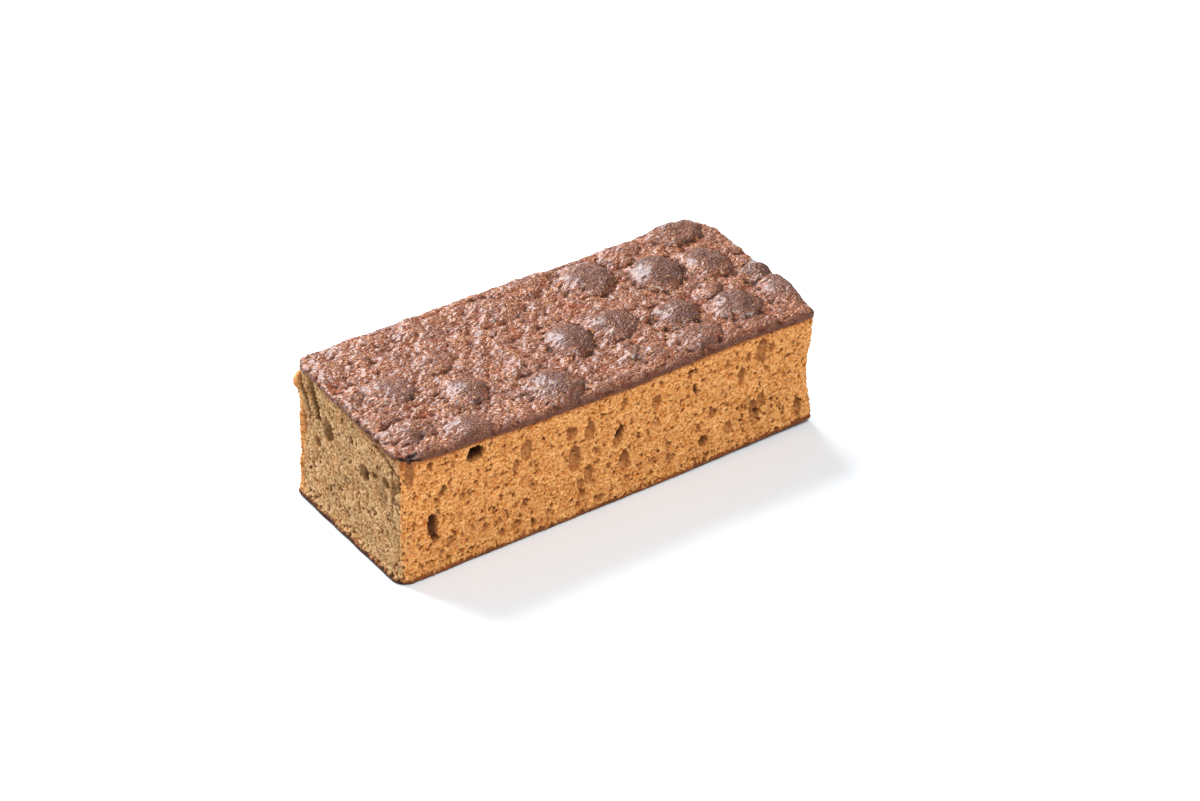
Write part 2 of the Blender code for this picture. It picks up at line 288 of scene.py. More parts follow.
def closed_piece(name, places, attributes, inner_place):
    """A piece from an array of places, rows by columns by XYZ, in millimetres."""
    rows, columns = places.shape[0] - 1, places.shape[1] - 1
    data, column, row = grid_mesh(columns, rows)
    placed = (places[row, column] + (OUTLINE_SHIFT, 0.0, 0.0)) * MM
    data.vertices.foreach_set("co", placed.astype(np.float32).ravel())
    for key, values in attributes.items():
        attribute = data.attributes.new(key, "FLOAT", "POINT")
        attribute.data.foreach_set("value", values[row, column].astype(np.float32))

    mesh = bmesh.new()
    mesh.from_mesh(data)
    border = [edge for edge in mesh.edges if edge.is_boundary]
    made = bmesh.ops.extrude_edge_only(mesh, edges=border)["geom"]
    inner = [item for item in made if isinstance(item, bmesh.types.BMVert)]
    for vertex in inner:
        x, y, z = vertex.co / MM
        vertex.co = Vector(inner_place(x - OUTLINE_SHIFT, y, z)) * MM + Vector((OUTLINE_SHIFT * MM, 0, 0))
    inner_edges = [edge for edge in mesh.edges if edge.is_boundary]
    bmesh.ops.edgeloop_fill(mesh, edges=inner_edges)
    bmesh.ops.recalc_face_normals(mesh, faces=mesh.faces[:])
    for face in mesh.faces:
        face.smooth = True
    mesh.to_mesh(data)
    mesh.free()
    write_uv(data, rows * columns, column / columns, row / rows)

    data.name = name
    piece = bpy.data.objects.new(name, data)
    bpy.context.scene.collection.objects.link(piece)
    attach(piece, ROOT)
    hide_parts(CAKE_NODE)
    triangles = sum(len(face.vertices) - 2 for face in data.polygons)
    print(f"{name}: {triangles} triangles")
    return piece


# %% [markdown]
# ## The cut faces as one ring
# The four cut faces are one skin that turns the corners, so they are worked out together: columns of
# points run right round the block, and rows run from the base crust up to the foot of the lip. Dents are
# pressed into this ring along its outward direction, and at a corner two faces share the same column,
# so their pieces meet without a gap. Only then is the ring cut into one piece for each face.

# %% Places of the ring
COLUMNS_LONG = 580
COLUMNS_DEEP = 232
ROWS = 160
CRUMB_TUCK_UP = 0.8
CRUMB_TUCK_IN = 1.0

along = np.linspace(-1.0, 1.0, COLUMNS_LONG + 1)[:-1]
across = np.linspace(-1.0, 1.0, COLUMNS_DEEP + 1)[:-1]
ring_x = np.concatenate((along, np.ones(COLUMNS_DEEP), -along, -np.ones(COLUMNS_DEEP)))
ring_y = np.concatenate((-np.ones(COLUMNS_LONG), across, np.ones(COLUMNS_LONG), -across))
ring_along = np.concatenate(
    (
        (along + 1.0) * LENGTH / 2,
        LENGTH + (across + 1.0) * DEPTH / 2,
        LENGTH + DEPTH + (along + 1.0) * LENGTH / 2,
        2 * LENGTH + DEPTH + (across + 1.0) * DEPTH / 2,
    )
)
RING_LENGTH = 2 * (LENGTH + DEPTH)
RING_COLUMNS = len(ring_x)

# The crust's edge rolls over tightly at the left end, where the slab was trimmed.
LEFT_LIP_RADIUS = 1.5


def lip_radius_at(u):
    """Radius of the roll, by the share of the half length that a place lies at."""
    return blend(LIP_RADIUS, LEFT_LIP_RADIUS, smoothstep(-0.85, -0.98, u))


# How far the crust's edge hangs down over the crumb: less and less towards the back left corner.
LIP_REACH = 3.4
LEFT_LIP_REACH = ((-40, 3.4), (-20, 4.1), (0, 3.4), (14, 2.4), (26, 1.4), (40, 0.9))
BACK_LIP_RETURN = 12.0  # along the back face, the millimetres over which the lip grows back


def lip_reach_at(x, y):
    """The lip's reach at a place on the rim, or at the rim nearest to it."""
    on_left = along_stations(LEFT_LIP_REACH, y)
    grown_back = smoothstep(0.0, BACK_LIP_RETURN, x + LENGTH / 2)
    on_long = np.where(y > 0, blend(LEFT_LIP_REACH[-1][1], LIP_REACH, grown_back), LIP_REACH)
    return np.where(-x - LENGTH / 2 >= np.abs(y) - DEPTH / 2, on_left, on_long)


edge_x = ring_x * LENGTH / 2
edge_y = ring_y * DEPTH / 2
lip_reach = lip_reach_at(edge_x, edge_y)
ring_top = crown_height(edge_x, edge_y) - lip_reach
ring_bottom = base_height(edge_x, edge_y) + BASE_ROUND
share = np.linspace(0.0, 1.0, ROWS + 1)[:, None]
ring_height = blend(ring_bottom, ring_top + CRUMB_TUCK_UP, share)
under_crust = ring_top - ring_height
over_base = ring_height - ring_bottom
half_x, half_y = half_sizes(ring_x, ring_y, ring_height)
ragged = CRUMB_RAGGED * lumps(edge_x, edge_y, ring_height, CRUMB_RAGGED_SPAN, 2)
half_x = half_x + ragged
half_y = half_y + ragged
face_x, face_y, out_x, out_y = rounded_plan(
    ring_x * half_x, ring_y * half_y, half_x, half_y, corner_radius(ring_x, ring_y, ring_height)
)
print("ring of crumb:", RING_COLUMNS, "columns of", ROWS + 1, "points")

# %% [markdown]
# ## Air holes
# The batter's bubbles were cut open by the knife. A bubble leaves a smooth, shallow cup with a browner wall,
# painted darker towards its top as shade; a deep hole is painted dark as shade; a tear has a ragged rim. All
# of them are taller than wide, because the batter rose while it set. Each one presses its cup into the ring,
# and where two overlap the deeper wins.
# The rims are made irregular by reading every cup through slightly shifted coordinates.

# %% Press cups into the ring
def rim_shift(channel):
    """How far every rim is shifted, so that none is a clean ellipse."""
    return layered(face_x, face_y, ring_height, (0.55, 2.6, channel), (0.35, 1.1, channel + 1))


rim_shift_along, rim_shift_up = rim_shift(3), rim_shift(5)
deep, cavity, pore, bulge, smooth_wall = (np.zeros_like(ring_height) for _ in range(5))


def press_cup(
    layer, place, height, half_width, half_height, depth, lean=0.0, rough=1.0, flat=0.5, wall=1.0, power=2.0
):
    """One air hole. place is along the ring; lean turns its top towards +place, in degrees; flat below
    0.5 gives a flatter bottom with steeper sides; wall is how much its skin is smoothed and painted a duller
    brown, more towards its top, where the darker skin is painted shade; power above 2 squares its outline."""
    reach = max(half_width, half_height) + 1.5
    middle = place / RING_LENGTH * RING_COLUMNS
    spread = int(reach / RING_LENGTH * RING_COLUMNS) + 1
    columns = np.arange(int(middle) - spread, int(middle) + spread + 2) % RING_COLUMNS
    span = ring_top[columns[0]] + CRUMB_TUCK_UP - ring_bottom[columns[0]]
    row = (height - ring_bottom[columns[0]]) / span * ROWS
    row_spread = int((reach + 1.5) / span * ROWS) + 1
    rows = slice(max(int(row) - row_spread, 0), min(int(row) + row_spread + 2, ROWS + 1))
    block = np.ix_(np.arange(ROWS + 1)[rows], columns)
    sideways = (ring_along[columns] - place + RING_LENGTH / 2) % RING_LENGTH - RING_LENGTH / 2
    sideways = sideways + rough * rim_shift_along[block]
    upwards = ring_height[block] - height + rough * rim_shift_up[block]
    turn = math.radians(lean)
    across_cup = (sideways * math.cos(turn) - upwards * math.sin(turn)) / half_width
    along_cup = (sideways * math.sin(turn) + upwards * math.cos(turn)) / half_height
    inside = np.clip(1.0 - np.abs(across_cup) ** power - np.abs(along_cup) ** power, 0.0, 1.0)
    layer[block] = np.maximum(layer[block], depth * inside**flat)
    # painted shade: a cup's upper wall is painted darker, as shade under its rim; the same weight smooths the
    # wall more towards its top
    shaded_above = 0.62 + 0.38 * np.clip(along_cup, -1.0, 1.0)
    smooth_wall[block] = np.maximum(smooth_wall[block], wall * shaded_above * smoothstep(0.0, 0.3, inside))


def press_all(layer, face, holes, deepen=1.0, **manner):
    """Presses a table of holes into one face. Each has its place along the face, its height, half width,
    half height and depth, and where it leans, the degrees."""
    for place, height, half_width, half_height, depth, *lean in holes:
        press_cup(layer, face(place), height, half_width, half_height, deepen * depth, *lean, **manner)


def valley(x, y, points, half_width, depth):
    """A V-shaped valley along a bent line, running out at both ends."""
    nearest = np.full_like(x, 1e9)
    for (start_x, start_y), (end_x, end_y) in zip(points, points[1:]):
        run_x, run_y = end_x - start_x, end_y - start_y
        run = math.hypot(run_x, run_y)
        t = np.clip(((x - start_x) * run_x + (y - start_y) * run_y) / run**2, 0.0, 1.0)
        nearest = np.minimum(nearest, np.hypot(x - start_x - t * run_x, y - start_y - t * run_y))
    return depth * np.clip(1.0 - nearest / half_width, 0.0, 1.0) ** 1.3


# %% Where the holes are, on the two sides that matter most
def front(x):
    """Place along the ring of a point on the front face."""
    return x + LENGTH / 2


def right(y):
    return LENGTH + y + DEPTH / 2


def back(x):
    return LENGTH + DEPTH + LENGTH / 2 - x


def left(y):
    return 2 * LENGTH + DEPTH + DEPTH / 2 - y


# Deep, dark holes and tears of the front face: place along X, height, half width, half height, depth, lean.
FRONT_DEEP = (
    (-65.4, 51, 4.3, 3.9, 8.0), (-81, 38.7, 1.5, 2.9, 3.5, 35), (-83.6, 35.4, 1.3, 1.4, 2.2),
    (-79.6, 41.4, 1.7, 0.8, 1.6), (3.5, 32.4, 2.4, 3.9, 5.5, 30), (39.5, 49.4, 2.3, 1.2, 4.6),
    (38.4, 47.8, 1.0, 2.1, 4.6), (41.5, 39.6, 1.0, 3.4, 5.2, -12), (73.4, 15.4, 0.7, 1.9, 3.4),
    (45.4, 12.6, 2.4, 3.0, 3.2, 15), (-38.8, 6.5, 1.2, 2.6, 2.6), (45.6, 42.6, 1.3, 1.2, 2.0),
    (48.4, 45.5, 0.7, 1.5, 1.6, 10), (58.8, 39.6, 0.7, 1.5, 1.6), (12.6, 13.5, 0.8, 1.5, 1.6, -30),
    (18.8, 7.4, 1.4, 1.0, 1.8), (44.5, 21.5, 1.4, 0.9, 1.6), (47, 5.3, 1.4, 1.0, 1.6),
    (67, 5.3, 1.1, 1.3, 1.6), (-62.9, 17.8, 1.6, 1.1, 1.8), (-53.5, 24.4, 1.1, 1.6, 1.7, 20),
    (-79.2, 26.5, 1.7, 0.7, 1.5), (-95, 5.5, 0.9, 0.9, 1.4), (-14.6, 36.2, 1.3, 0.8, 1.6),
    (84.3, 14.6, 1.6, 0.9, 1.6), (-79.5, 52, 2.1, 1.0, 1.7, 10), (-37.6, 41.6, 1.5, 0.6, 1.4),
)

# Smooth bubbles of the front face: place along X, height, half width, half height, depth.
FRONT_BUBBLES = (
    (-96.2, 53, 2.3, 7.0, 2.0), (-86.5, 54, 1.4, 2.2, 2.0), (-41, 42.6, 2.6, 5.3, 1.9),
    (-46.3, 37.2, 1.6, 3.5, 1.3), (-72, 32.7, 1.8, 1.9, 1.3), (-77.6, 13.8, 1.8, 2.6, 1.2),
    (-42.4, 17.6, 1.8, 2.2, 1.6), (-46.7, 17.8, 1.3, 1.6, 1.2), (-54.9, 13.3, 2.0, 2.0, 1.0),
    (-61.7, 13.2, 1.3, 2.1, 1.4), (-46.3, 8.7, 2.0, 2.3, 1.4), (-53.4, 7.2, 1.5, 2.3, 1.5),
    (-61, 33.5, 0.9, 1.6, 0.9), (-94.5, 27.8, 1.1, 1.1, 0.9), (-82, 9.6, 1.1, 1.6, 1.0),
    (-38.5, 24.2, 1.3, 1.4, 1.1), (-29, 39.2, 0.9, 1.4, 1.0), (-19.4, 41.9, 2.5, 3.5, 2.0),
    (-10.8, 39.9, 2.6, 5.2, 2.1), (-18, 28.8, 3.0, 6.6, 2.3), (-11.6, 18.8, 2.3, 4.8, 1.9),
    (-15.5, 15.6, 1.8, 3.0, 1.6), (-15.1, 10.6, 2.0, 2.4, 1.7), (-6.9, 5.2, 2.5, 2.0, 1.4),
    (2.5, 28.4, 2.0, 2.1, 1.2), (6.2, 18.7, 2.5, 5.3, 2.5), (5.9, 47.4, 1.5, 2.4, 1.7),
    (22, 41, 2.5, 3.5, 1.6), (24.2, 49.2, 0.9, 1.4, 1.1), (22.6, 30, 1.6, 1.6, 0.9),
    (28, 17.4, 1.5, 1.8, 1.3), (27.9, 10.3, 1.4, 3.3, 1.7), (7.4, 9.6, 1.1, 1.4, 1.1),
    (24.7, 6.9, 0.9, 1.6, 1.1), (74.4, 46.5, 3.1, 5.6, 2.3), (67.9, 45, 1.5, 2.6, 1.4),
    (79.7, 45.5, 1.6, 2.4, 1.5), (65, 36.9, 1.9, 4.6, 2.1), (56.8, 45, 1.5, 1.6, 1.1),
    (50.9, 24.1, 2.1, 2.4, 1.5), (39, 24.6, 1.1, 1.1, 0.9), (46.3, 26.9, 1.1, 1.6, 1.1),
    (71.6, 16.5, 2.5, 7.0, 2.1), (75.6, 21.3, 1.8, 4.1, 1.9), (58.1, 14.5, 2.0, 3.2, 1.5),
    (93.3, 10.8, 2.0, 5.1, 2.3), (91.8, 38.7, 0.9, 1.6, 1.0), (87.7, 29, 1.1, 1.4, 1.0),
    (81.8, 4.2, 1.1, 1.0, 1.0), (52.7, 5.1, 1.1, 1.0, 1.0),
)

# Straight-sided slots of the front face, with the same sizes as the deep holes.
FRONT_SLOTS = ((-86.0, 24.6, 2.3, 5.2, 4.0), (-85.0, 19.0, 1.5, 3.8, 3.4, -8))

# Holes of the left end: place along Y, height, half width, half height, depth, lean.
LEFT_DEEP = (
    (13.6, 44.3, 1.2, 4.2, 3.6), (-13.2, 41.2, 2.0, 2.2, 3.8), (-37.4, 48.6, 1.5, 4.0, 3.4),
    (16, 15.3, 1.4, 2.0, 2.0), (-6.2, 20.1, 1.1, 2.2, 1.7), (-18.8, 23.8, 1.3, 1.6, 1.5),
    (-1.6, 49.4, 1.0, 2.5, 2.2), (24.8, 33.4, 1.4, 2.6, 2.4),
)
# Flutes drawn out below the back left corner, where the crumb was stretched, with the same sizes.
LEFT_FLUTES = (
    (26.0, 53.5, 2.9, 10.0, 4.8, -16), (33.8, 53.0, 2.1, 9.0, 4.2, -14), (31.0, 46.0, 1.2, 4.0, 2.0, -12),
    (36.5, 38.0, 1.1, 7.0, 1.2, -4),
)
LEFT_BUBBLES = (
    (17.3, 43.7, 4.0, 6.0, 2.4), (26.6, 33.4, 2.6, 3.2, 1.6), (-33.5, 46.0, 2.6, 3.6, 1.5),
    (-2.3, 49.8, 1.7, 2.7, 1.5), (-11.5, 39.2, 4.0, 3.9, 2.2), (-18.8, 41.9, 2.0, 1.6, 1.5),
    (-27.5, 43.6, 3.3, 2.8, 1.8), (-33, 40.4, 1.8, 3.2, 1.7), (-25, 35.5, 4.2, 6.0, 0.8),
    (9, 19.7, 1.6, 1.6, 1.2), (4, 17.4, 1.1, 1.6, 1.1), (8.7, 12.4, 0.9, 3.0, 1.1),
    (25, 6.9, 0.9, 2.1, 1.1), (-2.7, 28, 1.1, 1.1, 1.0), (4, 55.8, 1.2, 1.5, 1.3),
)

# Torn lines of the left end: the places and heights they run through, half width and depth.
LEFT_TEARS = (
    (((-20, 57.5), (-28, 56.0), (-33, 53.5), (-37, 52.0)), 1.5, 2.9),
    (((-37, 45.0), (-33, 40.5), (-32.5, 33.0)), 1.1, 1.8),
    (((4, 58.0), (-3, 57.4), (-9, 57.0)), 0.8, 1.2),
)
# Lumps that stand out from the crumb, with a rise in place of the depth.
FRONT_SWELLS = ((-99, 38.0, 2.4, 16.0, 0.7),)
LEFT_SWELLS = ((38.5, 55.0, 7.0, 6.6, 1.4), (39.5, 33.0, 3.0, 15.0, 0.7))
FRONT_DEEPENED = 1.6  # a cup reads shallower than it is, so the bubbles are pressed deeper than they look
LEFT_DEEPENED = 1.4

press_all(deep, front, FRONT_DEEP, rough=0.9, flat=0.35, wall=0.7)
press_all(deep, front, FRONT_SLOTS, rough=0.6, flat=0.3, wall=0.7, power=5.0)
press_all(cavity, front, FRONT_BUBBLES, FRONT_DEEPENED, rough=0.7)
press_all(deep, left, LEFT_DEEP, flat=0.4, wall=0.9)
press_all(cavity, left, LEFT_FLUTES, rough=0.45, flat=0.6)
press_all(cavity, left, LEFT_BUBBLES, LEFT_DEEPENED, rough=0.8)
for points, half_width, depth in LEFT_TEARS:
    path = [(left(y), height) for y, height in points]
    tear = valley(ring_along + rim_shift_along, ring_height + rim_shift_up, path, half_width, depth)
    cavity = np.maximum(cavity, tear)
cavity = np.maximum(cavity, deep)
press_all(bulge, front, FRONT_SWELLS, rough=1.2, flat=0.7, wall=0.0)
press_all(bulge, left, LEFT_SWELLS, rough=1.2, flat=0.7, wall=0.0)
named = (FRONT_DEEP, FRONT_SLOTS, FRONT_BUBBLES, LEFT_DEEP, LEFT_FLUTES, LEFT_BUBBLES)
print("named holes:", sum(len(holes) for holes in named))

# %% Holes of the two faces turned away, drawn at random as in the solid
HOLE_SEED = 7
BACK_HOLE_COUNT = 16
RIGHT_HOLE_COUNT = 6
HOLE_GAP = 9.0
HOLE_HALF_WIDTHS = (1.5, 2.9)
HOLE_TALLER = (1.2, 2.4)
HOLE_DEPTHS = (1.4, 3.6)
HOLE_EDGE_MARGIN = 9.0


def random_holes(chance, count, half_span):
    """Air holes for an unseen face, kept apart from each other: place, height, half sizes and depth."""
    holes = []
    top = HEIGHT - HOLE_EDGE_MARGIN - LIP_RADIUS
    while len(holes) < count:
        place = chance.uniform(HOLE_EDGE_MARGIN - half_span, half_span - HOLE_EDGE_MARGIN)
        height = chance.uniform(HOLE_EDGE_MARGIN, top)
        half_width = chance.uniform(*HOLE_HALF_WIDTHS)
        if any(math.hypot(place - h[0], height - h[1]) < HOLE_GAP for h in holes):
            continue
        half_height = half_width * chance.uniform(*HOLE_TALLER)
        holes.append((place, height, half_width, half_height, chance.uniform(*HOLE_DEPTHS)))
    return holes


chance = random.Random(HOLE_SEED)
press_all(cavity, back, random_holes(chance, BACK_HOLE_COUNT, LENGTH / 2), rough=0.9)
press_all(cavity, right, random_holes(chance, RIGHT_HOLE_COUNT, DEPTH / 2), rough=0.9)

# %% [markdown]
# ## Pores
# Between the holes the crumb is a fine sponge. Thousands of pores, most of them under a millimetre across and
# none over two, are pressed in the same way, with small bubbles among them. The pores lie closer together
# near the base, where the batter was heavier, and a few open inside the large bubbles.

# %% Scatter the pores
PORE_SEED = 11
PORES = {
    "count": 7500,
    "heights": (1.0, 57.0),
    "crowding": 1.15,
    "smallest": 0.33,
    "growth": 0.62,
    "rarity": 2.6,
    "taller": (0.9, 1.7),
    "deeper": (0.7, 1.6),
    "most_lean": 35,
    "rough": 0.6,
    "wall": 0.0,
}
BUBBLES = {
    "count": 150,
    "heights": (4.0, 51.0),
    "crowding": 1,
    "smallest": 0.6,
    "growth": 0.9,
    "rarity": 2,
    "taller": (1.0, 1.9),
    "deeper": (0.7, 1.2),
    "most_lean": 20,
    "rough": 0.8,
    "wall": 0.5,
}


def scatter(
    layer, count, heights, crowding, smallest, growth, rarity, taller, deeper, most_lean, rough, wall
):
    """Presses cups at random places round the ring. crowding above 1 draws them down towards the base, and
    rarity above 1 makes the large ones rare; smallest and growth are half widths in millimetres."""
    low, high = heights
    for _ in range(count):
        place = chance.uniform(0.0, RING_LENGTH)
        height = low + (high - low) * chance.random() ** crowding
        half_width = smallest + growth * chance.random() ** rarity
        half_height = half_width * chance.uniform(*taller)
        depth = half_width * chance.uniform(*deeper)
        lean = chance.uniform(-most_lean, most_lean)
        press_cup(layer, place, height, half_width, half_height, depth, lean, rough, wall=wall)


chance = random.Random(PORE_SEED)
scatter(pore, **PORES)
scatter(cavity, **BUBBLES)
pore *= 1.0 - 0.8 * smooth_wall
for x, height, half_width, half_height, depth in FRONT_BUBBLES:
    for _ in range(int(half_width * half_height / 3.0)):
        place = front(x + half_width * chance.uniform(-0.6, 0.6))
        level = height + half_height * chance.uniform(-0.7, 0.7)
        press_cup(pore, place, level, 0.42, chance.uniform(0.4, 0.6), 0.9, 0.0, 0.3, wall=0.0)
print("pores:", PORES["count"] + BUBBLES["count"], "deepest hollow:", round(float(cavity.max()), 1), "mm")

# %% Press the pores and the grain of the crumb into the ring
SPONGE = ((0.25, 5.5, 10), (0.32, 2.2, 11), (0.50, 1.15, 12), (0.25, 0.75, 13))  # height, span, channel

grain = layered(face_x, face_y, ring_height, *SPONGE)
relief = grain * (1.0 - 0.9 * smooth_wall) + bulge - cavity - pore
relief *= smoothstep(-CRUMB_TUCK_UP, 0.6, under_crust)
ring_roll = lip_radius_at(ring_x)
roll_there = np.clip(1.0 - (lip_reach - CRUMB_TUCK_UP) / ring_roll, 0.0, 1.0)
roll_inset = ring_roll * (1.0 - np.sqrt(1.0 - roll_there**2))
relief -= (CRUMB_TUCK_IN + roll_inset) * smoothstep(0.4, -CRUMB_TUCK_UP, under_crust)
ring_places = np.stack((face_x + out_x * relief, face_y + out_y * relief, ring_height), axis=-1)

# %% Cut the ring into its four faces
INNER_DEPTH = 30.0
INNER_HEIGHTS = (8.0, 46.0)
crumb_attributes = {
    "hollow": cavity,
    "deep": deep,
    "pore": pore,
    "smooth_wall": smooth_wall,
    "grain": grain,
    "under_crust": under_crust,
    "over_base": over_base,
}
from_back_corner = ring_along - left(DEPTH / 2) + 2.5 * rim_shift_along
from_near_corner = RING_LENGTH - ring_along + rim_shift_along
crumb_attributes["left_end"] = smoothstep(1.5, 5.5, from_back_corner) * smoothstep(0.6, 3.0, from_near_corner)


def within(value, low, high):
    return max(low, min(value, high))


def inside(side_x, side_y):
    """The hidden far side of a piece, well inside the block. The sides say which way its face looks."""
    inner_x, inner_y = LENGTH / 2 - INNER_DEPTH, DEPTH / 2 - INNER_DEPTH

    def place(x, y, z):
        x = side_x * inner_x if side_x else within(x, -inner_x, inner_x)
        y = side_y * inner_y if side_y else within(y, -inner_y, inner_y)
        return x, y, within(z, *INNER_HEIGHTS)

    return place


def crumb_piece(name, first, count, inner_place):
    """One face of crumb: its columns of the ring, both corner columns included."""
    columns = np.arange(first, first + count + 1) % RING_COLUMNS
    attributes = {key: values[:, columns] for key, values in crumb_attributes.items()}
    return closed_piece(name, ring_places[:, columns], attributes, inner_place)


crumb_pieces = [
    crumb_piece("crumb_front", 0, COLUMNS_LONG, inside(0, -1)),
    crumb_piece("crumb_right", COLUMNS_LONG, COLUMNS_DEEP, inside(1, 0)),
    crumb_piece("crumb_back", COLUMNS_LONG + COLUMNS_DEEP, COLUMNS_LONG, inside(0, 1)),
    crumb_piece("crumb_left", 2 * COLUMNS_LONG + COLUMNS_DEEP, COLUMNS_DEEP, inside(-1, 0)),
]

# %% [markdown]
# ## The top crust
# The crust is one skin that lies over the whole top and rolls down over the edges. It is laid out flat,
# like a cloth, and each point is then taken round the lip by its distance from the cloth's own edge: first
# up the short band, then round the quarter circle, then across the top.


# %% Wrap a sheet over the block
def wrap(u, v, half_x, half_y, radius, roll, band, tuck):
    """Takes the points of a flat sheet, u and v from -1 to 1, over a rolled edge. It gives their place in
    plan, how far they lie below the top, their outward direction, and their place on the flat sheet."""
    spare = band + (math.pi / 2 - 1.0) * roll
    sheet_x, sheet_y, out_x, out_y = rounded_plan(
        u * (half_x + spare), v * (half_y + spare), half_x + spare, half_y + spare, radius + spare
    )
    travelled = edge_distance(sheet_x, sheet_y, half_x + spare, half_y + spare, radius + spare)
    travelled = np.maximum(travelled, 0.0)
    turn = np.clip((travelled - band) / roll, 0.0, math.pi / 2)
    on_band = np.clip(1.0 - travelled / band, 0.0, 1.0)
    inset = roll * (1.0 - np.cos(turn)) + tuck * on_band**2
    inset = inset + np.maximum(travelled - band - roll * math.pi / 2, 0.0)
    drop = roll * (1.0 - np.sin(turn)) + band * on_band
    move = travelled - inset - spare
    x = sheet_x + out_x * move
    y = sheet_y + out_y * move
    level = np.sin(turn)
    outward = np.stack((out_x * np.cos(turn), out_y * np.cos(turn), level), axis=-1)
    return x, y, drop, outward, sheet_x, sheet_y, travelled


CRUST_COLUMNS = 470
CRUST_ROWS = 200
CRUST_BAND = 1.0
CRUST_TUCK = 0.9
CRUST_GROWS_OVER = 5.0  # blisters and wrinkles grow to their full height over this way in from the foot

u, v = np.meshgrid(np.linspace(-1.0, 1.0, CRUST_COLUMNS + 1), np.linspace(-1.0, 1.0, CRUST_ROWS + 1))
crust_x, crust_y, crust_drop, crust_out, sheet_x, sheet_y, from_edge = wrap(
    u,
    v,
    LENGTH / 2 + LIP_PROUD,
    DEPTH / 2 + LIP_PROUD,
    corner_radius(u, v, HEIGHT),
    lip_radius_at(u),
    CRUST_BAND,
    CRUST_TUCK,
)
bent_x = sheet_x + 1.1 * lumps(sheet_x, sheet_y, 0.0, 4.0, 21)
bent_y = sheet_y + 1.1 * lumps(sheet_x, sheet_y, 0.0, 4.0, 22)
blister_x = crust_x + 1.6 * lumps(sheet_x, sheet_y, 0.0, 8.0, 19) + 0.4 * (bent_x - sheet_x)
blister_y = crust_y + 1.6 * lumps(sheet_x, sheet_y, 0.0, 8.0, 20) + 0.4 * (bent_y - sheet_y)
crown = crown_height(crust_x, crust_y)
blister = blister_height(blister_x, blister_y)
wrinkle = 1.3 * CRUST_WRINKLE * lumps(crust_x, crust_y, 0.0, CRUST_WRINKLE_SPAN, 1)
grown = smoothstep(0.0, CRUST_GROWS_OVER, from_edge)
crust_level = crown + (blister + wrinkle) * grown - crust_drop

# %% [markdown]
# The skin between the blisters is wrinkled and pitted at the scale of a millimetre, and each blister is
# stretched smoother towards its top. A few long creases run where neighbouring blisters push together.

# %% Wrinkles, creases and pits of the crust
# A crease: the points it runs through on the crust, its half width and its depth.
CREASES = (
    (((47, 25), (51, 29), (56, 29), (59, 27)), 0.9, 1.2),
    (((65, -3), (71, -2), (77, 0), (80, -1)), 0.9, 1.3),
    (((85, -5), (90, -3), (93, 0)), 0.9, 1.2),
    (((39, -9), (43, -8), (46, -5)), 0.8, 1.0),
    (((-80, -11), (-72, -12), (-63, -10)), 0.9, 1.4),
    (((-79, -19), (-72, -20), (-62, -24), (-54, -26)), 0.9, 1.3),
    (((-95, 13), (-86, 12), (-76, 14)), 1.0, 1.0),
    (((-100, -20), (-90, -18), (-80, -16)), 0.8, 1.0),
    (((-45, -20), (-38, -22), (-33, -28)), 0.8, 0.9),
    (((-10, -12), (-11, -20), (-9, -27)), 0.8, 0.9),
    (((11, -12), (12, -3), (9, 5)), 0.8, 1.0),
    (((35, -20), (37, -13), (36, -4)), 0.8, 1.0),
    (((59, -20), (61, -12), (60, -4)), 0.8, 1.0),
    (((68, 4), (68, 12), (70, 20)), 0.8, 1.0),
)
# A hollow sunk in the crust: middle along X, middle along Y, radius, depth.
HOLLOWS = ((-96, 13, 4.5, 1.4), (-74, -18.7, 4.0, 1.2), (-97.5, -37.5, 3.5, 1.8), (14, 12, 5.0, 0.8))
DARK_NOTCH = (-96.5, -42.5, 8.5, 2.6)  # where the near corner's edge broke away, a dent painted nearly black: middle, radius, depth
DRAWN_OUT = 1.5  # wrinkles run this much longer along the cake than across it

tight = smoothstep(0.6, 3.2, blister)
drawn_x = bent_x / DRAWN_OUT
# The left half rose less, so its wrinkles are lower and finer.
coarse = 1.05 - 0.45 * smoothstep(-10.0, -55.0, crust_x)
crust_relief = coarse * lumps(drawn_x, bent_y, 0.0, 3.8, 23)
crust_relief += 0.65 * lumps(drawn_x, bent_y, 0.0, 1.8, 24)
crust_relief += 0.45 * np.minimum(cells(drawn_x, bent_y, 2.6, 25), 0.35)
crust_relief += 0.35 * np.minimum(cells(drawn_x, bent_y, 1.2, 26), 0.35)
crust_relief += (0.6 - 0.3 * coarse) * lumps(drawn_x, sheet_y, 0.0, 1.05, 27)
crust_relief *= 1.0 - 0.6 * tight
broken = 0.55 + 0.9 * lumps(sheet_x, sheet_y, 0.0, 3.0, 18)
for points, half_width, depth in CREASES:
    crust_relief -= valley(bent_x, bent_y, points, 1.5 * half_width, depth) * broken
for middle_x, middle_y, radius, depth in HOLLOWS:
    away = np.hypot(bent_x - middle_x, bent_y - middle_y) / radius
    crust_relief -= depth * np.clip(1.0 - away**2, 0.0, 1.0)

notch_x, notch_y, notch_radius, notch_depth = DARK_NOTCH
dark_notch = np.clip(1.0 - np.hypot(sheet_x - notch_x, sheet_y - notch_y) / notch_radius, 0.0, 1.0)
dark_notch *= 1.0 + 0.9 * lumps(sheet_x, sheet_y, 0.0, 2.2, 30)
crust_relief -= notch_depth * smoothstep(0.2, 0.8, dark_notch)

